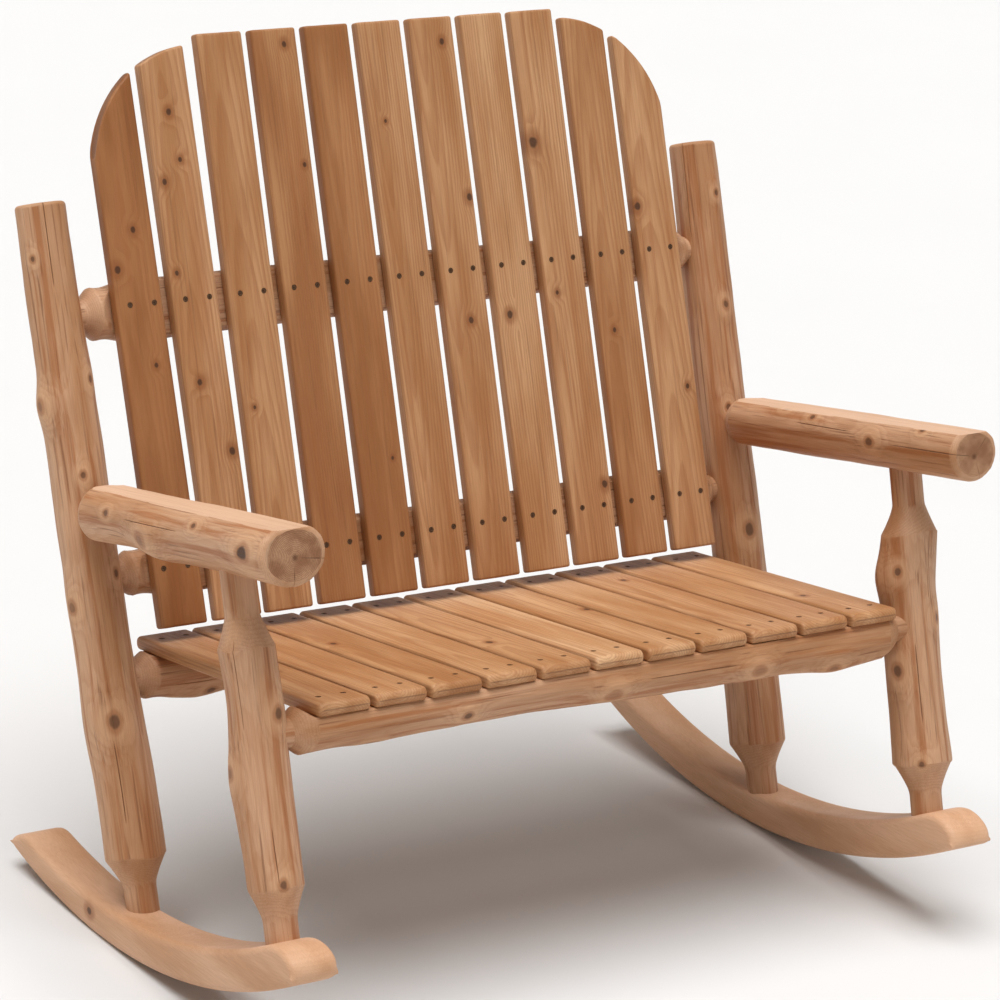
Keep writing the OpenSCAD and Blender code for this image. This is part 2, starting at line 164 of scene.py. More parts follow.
def rounding(distance, radius):
    """How far a rounded edge lies inside its corner, at a distance from that edge's end."""
    if distance >= radius:
        return 0
    return radius - math.sqrt(radius**2 - (radius - distance) ** 2)


# ---- building meshes ----


def in_scene(name, data):
    """A new object with this mesh, light or camera, in the scene."""
    made = bpy.data.objects.new(name, data)
    bpy.context.scene.collection.objects.link(made)
    return made


def piece(name, verts, faces, place, materials, angle=38):
    """A new object from mesh data in a local frame, riding on the chair. Edges over angle stay crisp."""
    mesh = bpy.data.meshes.new(name)
    mesh.from_pydata(verts, [], faces)
    mesh.update()
    work = bmesh.new()
    work.from_mesh(mesh)
    bmesh.ops.recalc_face_normals(work, faces=work.faces)
    work.to_mesh(mesh)
    work.free()
    mesh.shade_smooth()
    mesh.set_sharp_from_angle(angle=math.radians(angle))
    for material in materials:
        mesh.materials.append(material)
    made = in_scene(name, mesh)
    made.matrix_world = place
    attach(made, "root")
    return made


def tube_faces(rings, around):
    """The quads between rings of the same number of points."""
    faces = []
    for i in range(rings - 1):
        for k in range(around):
            a, b = i * around + k, i * around + (k + 1) % around
            faces.append((a, b, b + around, a + around))
    return faces


# ---- logs ----


@dataclass
class Knot:
    """A branch stub on a log: how far along it, its turn round it, its radius and its height."""

    along: float
    turn: float
    size: float = 0.009
    height: float = 0.0022
    dark: float = 0.75

    def __post_init__(self):
        self.turn = math.radians(self.turn)

    def swell(self, z, angle, radius):
        """How far the log stands out round the stub, which is cut nearly flush."""
        round_it = (angle - self.turn + math.pi) % TURN - math.pi
        across = round_it * radius / (1.9 * self.size)
        lengthwise = (z - self.along) / (3.2 * self.size)
        rise = math.exp(-(across**2) - lengthwise**2)
        return self.height * min(rise * 1.25, 1)


@dataclass
class Wave:
    """A broad swelling or hollow: where along the log, how far it reaches, and its height.

    It goes all the way round the log, unless it has a turn of its own."""

    along: float
    reach: float
    height: float
    turn: float = None

    def rise(self, z, angle):
        across = 1 if self.turn is None else max(math.cos(angle - math.radians(self.turn)), 0) ** 2
        return self.height * across * math.exp(-(((z - self.along) / self.reach) ** 2))


@dataclass
class Crack:
    """A drying crack: its turn round the log, and from where to where it runs along it."""

    half_width = 0.0006
    depth = 0.003
    turn: float
    start: float
    end: float

    def __post_init__(self):
        self.turn = math.radians(self.turn)

    def cut(self, z):
        """Its depth at z, which dies away at both of its ends."""
        if not self.start < z < self.end:
            return 0
        t = (z - self.start) / (self.end - self.start)
        return self.depth * min(1, 6 * t, 6 * (1 - t))


@dataclass
class Flat:
    """A plane that a log is planed to, between two places along it."""

    point: Vector
    normal: Vector
    start: float
    end: float
    seed: int

    def planed(self, p):
        """The point p, moved down to the plane where it stands above it."""
        past = max(self.start - p.z, p.z - self.end, 0)
        rise = 0.0005 * wander(self.seed, p.z * 9) + 0.8 * past
        over = (p - self.point).dot(self.normal) - rise
        return p - self.normal * over if over > 0 else p


class Log:
    """A peeled log with turned ends, from the CAD node's outline and what grew on it."""

    step = 0.005
    fine_step = 0.0025
    around = 96

    # How a log looks, where its own looks don't say otherwise
    rough = 1.0
    bend = 0.002
    hollow = 1.0
    oval = 0.0006
    rim = 0
    tone = 0.5
    crisp = False
    waves = ()
    drifts = ()

    def __init__(self, node, towards, facing, seed, knots, cracks, **looks):
        self.node = node
        self.seed = seed
        self.knots = knots
        self.cracks = cracks
        for name, value in looks.items():
            setattr(self, name, value)
        self.flats = []
        self.place = log_place(node, towards, facing)
        self.length, self.outline = log_outline(node, self.place)
        self.find_body()
        self.angles = self.spread_angles()

    def cad_radius(self, z):
        return looked_up(self.outline, z / self.length)

    def find_body(self):
        """Where the turned ends stop and the natural log starts, and its radius at both."""
        full = max(self.outline)
        steps = len(self.outline) - 1
        thick = [i for i, r in enumerate(self.outline) if r > 0.8 * full]
        slopes = [abs(self.outline[i + 1] - self.outline[i]) for i in range(steps)]
        flat = [i for i in thick if i < steps and slopes[i] < 0.12 * self.length / steps]
        self.start = flat[0] * self.length / steps
        self.end = (flat[-1] + 1) * self.length / steps
        self.start_r = self.cad_radius(self.start + 0.004)
        self.end_r = self.cad_radius(self.end - 0.004)

    def spread_angles(self):
        """The angles of the mesh's columns: even, with three close ones at each crack."""
        spacing = TURN / self.around
        even = [i * spacing for i in range(self.around)]
        close = []
        for crack in self.cracks:
            turn = crack.turn % TURN
            half = crack.half_width / self.end_r
            even = [a for a in even if abs((a - turn + math.pi) % TURN - math.pi) > 0.6 * spacing]
            close += [(turn - half) % TURN, turn, (turn + half) % TURN]
        return sorted(even + close)

    def natural(self, z, angle):
        """Radius of the peeled log, before its ends are turned."""
        share = (z - self.start) / (self.end - self.start)
        radius = self.start_r + (self.end_r - self.start_r) * share
        x, y = math.cos(angle), math.sin(angle)
        oval = -self.oval * math.cos(2 * angle) * (1 if self.rim else math.cos(4 * z + self.seed))
        swell = 0.0017 * wander(self.seed, x * 0.9, y * 0.9, z * 5)
        facets = 0.0011 * wander(self.seed + 9, x * 2.4, y * 2.4, z * 3.4)
        dents = 0.0006 * wander(self.seed + 17, x * 5, y * 5, z * 20)
        knots = sum(k.swell(z, angle, radius) for k in self.knots)
        waves = sum(w.rise(z, angle) for w in self.waves)
        return radius + oval + self.rough * (swell + facets + dents) + knots + waves

    def turned(self, z):
        """Radius that the turned ends leave at most: a hollow curve that opens out from the neck."""
        if z < self.start:
            return self.hollowed(z, self.outline[1], self.start_r)
        if z > self.end and not self.rim:
            return self.hollowed(z, self.outline[-2], self.end_r)
        low = self.start_r + (z - self.start) * self.hollow
        high = self.end_r + (self.end - z) * self.hollow
        return low if self.rim else min(low, high)

    def hollowed(self, z, neck_r, full_r):
        radius = self.cad_radius(z)
        if radius <= neck_r + 0.0002:
            return radius
        share = min((radius - neck_r) / (full_r - neck_r), 1)
        return neck_r + (full_r - neck_r) * share**self.hollow

    def radius(self, z, angle):
        radius = min(self.natural(z, angle), self.turned(z))
        return radius - rounding(self.length - z, self.rim) if self.rim else radius

    def centre(self, z):
        """The log's own slight bend, which dies out at its turned ends."""
        free = smooth(self.start, self.start + 0.12, z) * (1 - smooth(self.end - 0.12, self.end, z))
        x = free * self.bend * wander(self.seed + 31, z * 3)
        y = free * self.bend * wander(self.seed + 47, z * 3)
        for fixed, moved, shift_x, shift_y in self.drifts:
            share = smooth(min(fixed, moved), max(fixed, moved), z)
            share = share if moved > fixed else 1 - share
            x += share * shift_x
            y += share * shift_y
        return x, y

    def crack_depth(self, z, angle):
        """How deep the middle of a crack lies here, or 0 beside it."""
        return sum(c.cut(z) for c in self.cracks if abs(angle - c.turn % TURN) < 1e-6)

    def point(self, z, angle, share=1.0, sink=0.0):
        """A point of the surface, or one share of the way out from the middle of the end."""
        radius = (self.radius(z, angle) - self.crack_depth(z, angle)) * share
        x, y = self.centre(z)
        p = Vector((x + radius * math.cos(angle), y + radius * math.sin(angle), z - sink))
        for flat in self.flats:
            p = flat.planed(p)
        return p

    def stations(self):
        """Places along the log for the mesh's rings, closer together at the shoulders and rims."""
        places = [0]
        while places[-1] < self.length:
            z = places[-1]
            near = min(abs(z - self.start), abs(z - self.end)) < 0.025
            places.append(z + (self.fine_step if near else self.step))
        places = [z for z in places if z < self.length - max(self.rim, 0.002)]
        if self.rim:
            edge = [1, 0.7, 0.45, 0.25, 0.12, 0.04]
            places += [self.length - self.rim * e for e in edge]
        return places + [self.length]


def end_cap(log, verts, first_ring, end_z):
    """The sawn end: rings from the rim to the middle, with the cracks cut into it."""
    shares = [0.97, 0.92, 0.84, 0.74, 0.62, 0.5, 0.38, 0.26, 0.14, 0.05]
    around = len(log.angles)
    faces = []
    rings = [first_ring]
    for share in shares:
        rings.append(len(verts))
        for angle in log.angles:
            depth = log.crack_depth(log.length - 0.01, angle)
            reach = smooth(0.02, 0.3, share)
            grain = 0.0003 * wander(log.seed + 3, share * 9, angle * 2)
            sink = (depth * 1.6 * reach if end_z > 0 else 0) + grain
            verts.append(log.point(end_z, angle, share, sink))
    for outer, inner in zip(rings, rings[1:]):
        for k in range(around):
            n = (k + 1) % around
            faces.append((outer + k, outer + n, inner + n, inner + k))
    faces.append(tuple(range(rings[-1], rings[-1] + around)))
    return faces


def log_piece(log, side_material, end_material):
    """The log's mesh: rings along it, and a sawn end at each end."""
    places = log.stations()
    around = len(log.angles)
    verts = [log.point(z, angle) for z in places for angle in log.angles]
    faces = tube_faces(len(places), around)
    sides = len(faces)
    faces += end_cap(log, verts, 0, 0)
    faces += end_cap(log, verts, (len(places) - 1) * around, log.length)
    angle = 20 if log.crisp else 38
    materials = [side_material, end_material]
    made = piece("log_" + log.node, verts, faces, log.place, materials, angle)
    for i in range(sides, len(faces)):
        made.data.polygons[i].material_index = 1
    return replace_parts(made, log.node)


def plane_rails(log, slats, facing, along):
    """Planes a rail flush with the backs of the slats that are screwed to it."""
    edge = board_place(slats[0], facing, along)
    high = local_box(slats[0], edge)[1]
    into_log = log.place.inverted()
    ends = []
    for slat in (slats[0], slats[-1]):
        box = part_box(slat)
        ends += [(into_log @ Vector((box[i].x, log.place.translation.y, 0))).z for i in (0, 1)]
    point = into_log @ (edge @ Vector((0, high.y, 0)))
    normal = into_log.to_3x3() @ (edge.to_3x3() @ Vector((0, -1, 0)))
    log.flats.append(Flat(point, normal, min(ends) - 0.002, max(ends) + 0.002, log.seed))


def plane_arm(log, mount_name):
    """Planes the top of an arm, where the record's mount says that it is flat."""
    mount = next(m for m in frame["record"]["mounts"] if m["name"] == mount_name)
    into_log = log.place.inverted()
    point = into_log @ Vector(mount["pos_m"])
    normal = into_log.to_3x3() @ Vector(mount["axis"])
    log.flats.append(Flat(point, normal, 0, log.length, log.seed))


# ---- boards ----


@dataclass
class BoardKnot:
    """A knot through a board: how far along it, how far right of its middle, and its radius."""

    along: float
    across: float
    size: float = 0.006
    dark: float = 0.8


class Board:
    """A slat with eased edges, which follows the CAD slat's width, thickness and end curves.

    It may lean sideways, about the share of its length that pivot names."""

    step = 0.012
    ease = 0.005
    columns = 12
    pivot = 0.3

    def __init__(self, node, facing, along, seed, end_r, tone=0.5, knots=(), lean=0.0):
        self.lean = lean
        self.node = node
        self.seed = seed
        self.end_r = end_r
        self.tone = tone
        self.knots = list(knots)
        self.place = board_place(node, facing, along)
        high = local_box(node, self.place)[1]
        self.half_w = high.x
        self.half_t = high.y
        self.length = high.z
        self.surface = cad_surface(node)

    def end_at(self, x, way):
        """Where the CAD slat ends at x, found by a ray along it."""
        turn = self.place.to_3x3()
        start = self.place @ Vector((x, 0.3 * self.half_t, self.length / 2 + way * self.length))
        hit = self.surface.ray_cast(start, turn @ Vector((0, 0, -way)), self.length)
        if hit[0] is None:
            return self.length if way > 0 else 0
        return (self.place.inverted() @ hit[0]).z

    def across(self):
        """Places across the board with its half thickness at each, dense at the eased edges."""
        turns = [math.radians(a) for a in (90, 67.5, 45, 22.5)]
        edge = [(self.ease * (1 - math.sin(a)), self.ease * (1 - math.cos(a))) for a in turns]
        left = [(-self.half_w + inset, self.half_t - thin) for inset, thin in edge]
        inner = self.half_w - self.ease
        middle = [(-inner + 2 * inner * i / self.columns, self.half_t) for i in range(self.columns + 1)]
        right = [(-x, half) for x, half in reversed(left)]
        return left + middle + right

    def stations(self):
        """Pairs of a share of the length and a distance from that end, from one end to the other."""
        near = [self.end_r * e for e in (0, 0.06, 0.2, 0.42, 0.7, 1)]
        count = round((self.length - 2 * self.end_r) / self.step)
        middle = [(i / count, None) for i in range(1, count)]
        return [(0, d) for d in near] + middle + [(1, d) for d in reversed(near)]

    def warp(self, x, z):
        """The board's slight bow, twist and cup, out of its plane."""
        t = z / self.length
        bow = 0.0005 * math.sin(math.pi * t) * wander(self.seed, 3.3)
        twist = 0.0006 * (x / self.half_w) * (t - 0.5) * wander(self.seed + 5, 1.7)
        ripple = 0.00012 * wander(self.seed + 8, x * 30, z * 8)
        return bow + twist + ripple

    def mesh_data(self):
        columns = self.across()
        ends = [(self.end_at(x * 0.999, -1), self.end_at(x * 0.999, 1)) for x, half in columns]
        verts = []
        for share, distance in self.stations():
            inset = rounding(distance, self.end_r) if distance is not None else 0
            for side in (-1, 1):
                for (x, half), (low, high) in zip(columns, ends):
                    worn = 0.0003 * wander(self.seed + 2, x * 40, share * 3)
                    low_z, high_z = low + self.end_r, high - self.end_r
                    if distance is None:
                        z = low_z + (high_z - low_z) * share
                    else:
                        z = low + distance + worn if share == 0 else high - distance - worn
                    narrow = 1 - 0.4 * inset / self.half_w
                    edge = 1 + 0.0035 * wander(self.seed + 4, z * 4) * abs(x) / self.half_w
                    y = side * max(half - inset, 0.0004) + self.warp(x, z)
                    aside = self.lean * (z / self.length - self.pivot)
                    verts.append((x * narrow * edge + aside, y, z))
        return verts, self.faces(len(columns), len(self.stations()))

    def faces(self, wide, rows):
        """Quads on both faces, the two long edges and the two ends."""
        row = 2 * wide
        faces = []
        for j in range(rows - 1):
            for side in (0, wide):
                for i in range(wide - 1):
                    a = j * row + side + i
                    faces.append((a, a + 1, a + 1 + row, a + row))
            for i in (0, wide - 1):
                a = j * row + i
                faces.append((a, a + wide, a + wide + row, a + row))
        self.side_count = len(faces)
        for base in (0, (rows - 1) * row):
            for i in range(wide - 1):
                faces.append((base + i, base + i + 1, base + wide + i + 1, base + wide + i))
        return faces


def board_piece(board, side_material, end_material):
    """The board's mesh, with its two ends painted as end grain."""
    verts, faces = board.mesh_data()
    materials = [side_material, end_material]
    made = piece("board_" + board.node, verts, faces, board.place, materials)
    for i in range(board.side_count, len(faces)):
        made.data.polygons[i].material_index = 1
    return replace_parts(made, board.node)


# ---- rockers ----


def side_loop(node, x):
    """The outline of a CAD node where the plane at x cuts it, as points in order round it."""
    work = bmesh.new()
    work.from_mesh(cad_mesh(node))
    bmesh.ops.remove_doubles(work, verts=work.verts, dist=1e-5)
    everything = work.verts[:] + work.edges[:] + work.faces[:]
    cut = bmesh.ops.bisect_plane(work, geom=everything, plane_co=(x, 0, 0), plane_no=(1, 0, 0))
    edges = [e for e in cut["geom_cut"] if isinstance(e, bmesh.types.BMEdge)]
    links = {}
    for e in edges:
        for a, b in (e.verts, reversed(e.verts)):
            links.setdefault(a, []).append(b)
    start = min(links, key=lambda v: v.co.y)
    loop, last, here = [start], None, start
    while True:
        onward = [v for v in links[here] if v is not last]
        last, here = here, onward[0]
        if here is start:
            break
        loop.append(here)
    points = [Vector((v.co.y, v.co.z)) for v in loop]
    work.free()
    return points


def resampled(points, count):
    """Points at equal steps along a line through the given points."""
    reach = [0]
    for a, b in zip(points, points[1:]):
        reach.append(reach[-1] + (b - a).length)
    out = []
    at = 0
    for i in range(count + 1):
        want = reach[-1] * i / count
        while at < len(points) - 2 and reach[at + 1] < want:
            at += 1
        span = reach[at + 1] - reach[at]
        t = (want - reach[at]) / span if span > 0 else 0
        out.append(points[at].lerp(points[at + 1], min(max(t, 0), 1)))
    return out


def two_edges(loop):
    """The loop's lower and upper edges, both from the nose to the tail."""
    tail = max(range(len(loop)), key=lambda i: loop[i].x)
    one, other = loop[: tail + 1], [loop[0]] + list(reversed(loop[tail:]))
    middle = [sum(p.y for p in edge) / len(edge) for edge in (one, other)]
    return (one, other) if middle[0] < middle[1] else (other, one)


def rocker_piece(node, side, seed, material):
    """A rocker from its CAD outline: a plank on edge, with eased edges, rounded ends and a worn nose."""
    low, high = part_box(node)
    middle = (low.x + high.x) / 2
    half_w = (high.x - low.x) / 2
    outline = side_loop(node, middle + side * 0.8 * half_w)
    lower, upper = (resampled(edge, ROCKER_STEPS) for edge in two_edges(outline))
    for p in upper:
        near = 1 - (p.x - low.y) / NOSE_REACH
        p.y -= NOSE_DROOP[node] * max(near, 0) ** 1.5
    loop = lower + list(reversed(upper))[1:-1]
    count = len(loop)
    for _ in range(ROCKER_ROUNDS):
        loop = [(loop[i - 1] + 2 * p + loop[(i + 1) % count]) / 4 for i, p in enumerate(loop)]
    gaps = [(a - b).length for a, b in zip(lower, upper)]
    gaps += list(reversed(gaps))[1:-1]
    turns = [math.radians(a) for a in (0, 22.5, 45, 67.5, 90)]
    edge = [(half_w - ROCKER_EASE * (1 - math.sin(a)), ROCKER_EASE * (1 - math.cos(a))) for a in turns]
    flat = [edge[0][0] * (1 - 2 * i / 8) for i in range(1, 8)]
    outline = [(x, inset) for x, inset in reversed(edge)]
    outline += [(x, 0) for x in flat]
    outline += [(-x, inset) for x, inset in edge]
    verts = []
    for x, inset in outline:
        for i, p in enumerate(loop):
            ahead, behind = loop[(i + 1) % count], loop[i - 1]
            way = (ahead - behind).normalized()
            inward = Vector((-way.y, way.x))
            sunk = p + inward * min(inset, 0.38 * gaps[i])
            wave = 0.0004 * wander(seed, x * 25, p.x * 7)
            verts.append((x + 0.0003 * wander(seed + 1, p.x * 6, p.y * 9), sunk.x, sunk.y + wave))
    faces = tube_faces(len(outline), count)
    for base in (0, (len(outline) - 1) * count):
        for i in range(ROCKER_STEPS):
            a, b = i, i + 1
            c, d = (count - b) % count, (count - a) % count
            ring = [base + a, base + b, base + c, base + d]
            faces.append(tuple(dict.fromkeys(ring)))
    place = Matrix.Translation((middle, 0, 0))
    made = piece("board_" + node, verts, faces, place, [material])
    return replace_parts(made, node)


ROCKER_STEPS = 170
ROCKER_EASE = 0.010
ROCKER_ROUNDS = 8
NOSE_REACH = 0.07
NOSE_DROOP = {"rocker_left": 0.003, "rocker_right": 0.012}


# ---- screws ----


class Screw:
    """One screw of a CAD node of screws: its head's centre, the way it points, and its sizes."""

    def __init__(self, points):
        middle = points.mean(0)
        axis = np.linalg.svd(points - middle)[2][0]
        along = (points - middle) @ axis
        away = np.linalg.norm(points - middle - np.outer(along, axis), axis=1)
        if away[along > 0].max() > away[along < 0].max():
            axis, along = -axis, -along
        self.way = Vector(axis)
        self.head = Vector(middle) + self.way * along.min()
        self.length = along.max() - along.min()
        self.head_r = away.max()
        self.shank_r = away[along > 0.2 * self.length].max()

    def place(self):
        side = self.way.orthogonal().normalized()
        return axes_matrix(side, self.way.cross(side), self.way, self.head)


def screws_of(node):
    """The screws that a CAD node holds, one for each of its separate solids, in the same order each run."""
    work = bmesh.new()
    work.from_mesh(cad_mesh(node))
    bmesh.ops.remove_doubles(work, verts=work.verts, dist=1e-5)
    waiting = set(work.verts)
    screws = []
    while waiting:
        island, edge = set(), [waiting.pop()]
        while edge:
            v = edge.pop()
            island.add(v)
            beside = {e.other_vert(v) for e in v.link_edges} & waiting
            waiting -= beside
            edge += beside
        screws.append(Screw(np.array(sorted(tuple(v.co) for v in island))))
    work.free()
    return sorted(screws, key=lambda screw: tuple(screw.head))


def lathe(rows, sides, place, verts, faces):
    """Adds a turned shape to verts and faces: rows of (height, function of the angle's share)."""
    start = len(verts)
    for height, radius in rows:
        for k in range(sides):
            share = k / sides
            r = radius(share) if callable(radius) else radius
            verts.append(place @ Vector((r * math.cos(TURN * share), r * math.sin(TURN * share), height)))
    for face in tube_faces(len(rows), sides):
        faces.append(tuple(i + start for i in face))
    last = start + (len(rows) - 1) * sides
    faces.append(tuple(range(start, start + sides)))
    faces.append(tuple(range(last, last + sides)))


def cross_shape(size):
    """The outline of a cross recess, as a radius at a share of the turn."""
    return lambda share: size * (0.35 + 0.65 * abs(math.cos(2 * TURN * share)) ** 3)


def sunk_screw_rows(screw, sink):
    """A countersunk head with a cross recess, sunk below the wood, and its shank."""
    r = screw.head_r
    return [
        (sink + 0.30 * r, cross_shape(0.24 * r)),
        (sink + 0.04 * r, cross_shape(0.52 * r)),
        (sink, 0.62 * r),
        (sink, 0.93 * r),
        (sink + 0.06 * r, r),
        (sink + 0.16 * r, r),
        (sink + 0.75 * r, screw.shank_r),
        (0.93 * screw.length, screw.shank_r),
        (screw.length, 0.2 * screw.shank_r),
    ]


def hex_shape(size):
    """The outline of a six-sided head, as a radius at a share of the turn."""
    half = math.pi / 6
    return lambda share: size * math.cos(half) / math.cos((TURN * share + half) % (2 * half) - half)


def lag_screw_rows(screw):
    """A six-sided head with a turned face, and a thick shank."""
    r = screw.head_r
    return [
        (0, 0.45 * r),
        (0, 0.84 * r),
        (0.12 * r, hex_shape(r)),
        (0.6 * r, hex_shape(r)),
        (0.6 * r, screw.shank_r),
        (0.9 * screw.length, screw.shank_r),
        (screw.length, 0.2 * screw.shank_r),
    ]


def screws_piece(node, material, sink=0.0006):
    """All the screws of a CAD node as one piece."""
    verts, faces = [], []
    for screw in screws_of(node):
        rows = lag_screw_rows(screw) if node == "rocker_lag_screws" else sunk_screw_rows(screw, sink)
        lathe(rows, 24, screw.place(), verts, faces)
    made = piece("screws_" + node, verts, faces, Matrix(), [material], angle=30)
    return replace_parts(made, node)


def drill(made, screws, depth=0.0035, gap=0.0004, above=0.004):
    """Cuts the holes that the screws' heads sit in."""
    verts, faces = [], []
    for screw in screws:
        radius = screw.head_r + gap
        lathe([(-above, radius), (depth, radius)], 24, screw.place(), verts, faces)
    if not verts:
        return
    mesh = bpy.data.meshes.new("drill")
    mesh.from_pydata(verts, [], faces)
    cutter = in_scene("drill", mesh)
    holes = made.modifiers.new("holes", "BOOLEAN")
    holes.operation = "DIFFERENCE"
    holes.object = cutter
    holes.solver = "EXACT"
    bpy.context.view_layer.update()
    done = bpy.data.meshes.new_from_object(made.evaluated_get(bpy.context.evaluated_depsgraph_get()))
    made.modifiers.clear()
    made.data = done
    done.set_sharp_from_angle(angle=math.radians(38))
    bpy.data.objects.remove(cutter)


# ---- painting materials ----


def shade(red, green, blue):
    """A linear colour from its values on screen, 0 to 255."""
    return tuple(((v / 255 + 0.055) / 1.055) ** 2.4 for v in (red, green, blue))


def shade_between(one, other, share):
    """The linear colour that lies a share of the way from one screen colour to another."""
    return shade(*(round(a + (b - a) * share) for a, b in zip(one, other)))


class Paint:
    """A material's nodes, added call by call. Each value is a number, a tuple or a socket."""

    def __init__(self, name):
        self.material = bpy.data.materials.new(name)
        self.material.use_nodes = True
        self.tree = self.material.node_tree
        self.shader = self.tree.nodes["Principled BSDF"]
        where = self.tree.nodes.new("ShaderNodeTexCoord")
        self.place = where.outputs["Object"]
        self.normal = where.outputs["Normal"]

    def put(self, socket, value):
        """Links a socket to the input, or sets the input's own value."""
        if isinstance(value, bpy.types.NodeSocket):
            self.tree.links.new(value, socket)
        elif socket.type == "RGBA":
            socket.default_value = (*value, 1)
        else:
            socket.default_value = value

    def math(self, operation, a, b=0.0):
        node = self.tree.nodes.new("ShaderNodeMath")
        node.operation = operation
        self.put(node.inputs[0], a)
        self.put(node.inputs[1], b)
        return node.outputs[0]

    def plus(self, a, b):
        return self.math("ADD", a, b)

    def minus(self, a, b):
        return self.math("SUBTRACT", a, b)

    def times(self, a, b):
        return self.math("MULTIPLY", a, b)

    def vector(self, operation, a, b=(0, 0, 0)):
        node = self.tree.nodes.new("ShaderNodeVectorMath")
        node.operation = operation
        self.put(node.inputs[0], a)
        self.put(node.inputs[1], b)
        return node.outputs["Value" if operation == "LENGTH" else "Vector"]

    def moved(self, stretch, shift=(0, 0, 0)):
        """The place on the piece, scaled along each axis and shifted."""
        return self.vector("ADD", self.vector("MULTIPLY", self.place, stretch), shift)

    def parts(self, value):
        """The three parts of a place or a direction."""
        node = self.tree.nodes.new("ShaderNodeSeparateXYZ")
        self.put(node.inputs[0], value)
        return node.outputs

    def noise(self, at, scale=1.0, detail=2.0, roughness=0.5):
        node = self.tree.nodes.new("ShaderNodeTexNoise")
        self.put(node.inputs["Vector"], at)
        node.inputs["Scale"].default_value = scale
        node.inputs["Detail"].default_value = detail
        node.inputs["Roughness"].default_value = roughness
        return node.outputs["Fac"]

    def span(self, value, low, high, out_low=0.0, out_high=1.0):
        """The value, carried smoothly from one range to another and held at its ends."""
        node = self.tree.nodes.new("ShaderNodeMapRange")
        node.interpolation_type = "SMOOTHSTEP"
        names = ("Value", "From Min", "From Max", "To Min", "To Max")
        for name, given in zip(names, (value, low, high, out_low, out_high)):
            self.put(node.inputs[name], given)
        return node.outputs["Result"]

    def patches(self, stretch, shift, low, high, detail=3, roughness=0.5):
        """Noise over the piece, turned into patches with soft edges."""
        grains = self.noise(self.moved(stretch, shift), detail=detail, roughness=roughness)
        return self.span(grains, low, high)

    def mix(self, share, a, b, blend="MIX"):
        node = self.tree.nodes.new("ShaderNodeMix")
        node.data_type = "RGBA"
        node.blend_type = blend
        self.put(node.inputs["Factor"], share)
        self.put(node.inputs[6], a)
        self.put(node.inputs[7], b)
        return node.outputs[2]

    def tinted(self, colour, tint, share, strength):
        """The colour, mixed with a tint by a share of it that strength scales."""
        return self.mix(self.times(share, strength), colour, tint)

    def finish(self, colour, roughness, height=None, depth=0.0005, gloss=0.35):
        self.put(self.shader.inputs["Base Color"], colour)
        self.put(self.shader.inputs["Roughness"], roughness)
        self.shader.inputs["Specular IOR Level"].default_value = gloss
        if height is not None:
            bump = self.tree.nodes.new("ShaderNodeBump")
            bump.inputs["Distance"].default_value = depth
            bump.inputs["Strength"].default_value = 0.8
            self.put(bump.inputs["Height"], height)
            self.put(self.shader.inputs["Normal"], bump.outputs["Normal"])
        return self.material


def knot_marks(paint, spots, stretch):
    """The nearest knot's distance in its own radii, and how dark its core is here.

    Each spot is its centre, its radius and its darkness. Stretch flattens the axis that a knot
    runs along, or lengthens the field along the grain."""
    uneven = paint.noise(paint.moved((90, 90, 60)), detail=1)
    nearest, core = 99.0, 0.0
    for centre, size, dark in spots:
        away = paint.vector("SUBTRACT", paint.place, centre)
        reach = paint.vector("LENGTH", paint.vector("MULTIPLY", away, tuple(s / size for s in stretch)))
        reach = paint.plus(reach, paint.times(uneven, 0.6))
        reach = paint.minus(reach, 0.3)
        nearest = paint.math("MINIMUM", nearest, reach)
        core = paint.math("MAXIMUM", core, paint.span(reach, 1.0, 0.55, 0.0, dark))
    return nearest, core


def growth_rings(paint, radius, width):
    """0 to 1 across each year's growth: pale early wood, then a narrow dark late edge."""
    year = paint.math("FRACT", paint.math("DIVIDE", radius, width))
    rise = paint.span(year, 0.25, 0.86)
    fall = paint.span(year, 0.9, 1.0, 1.0, 0.0)
    return paint.times(rise, fall)


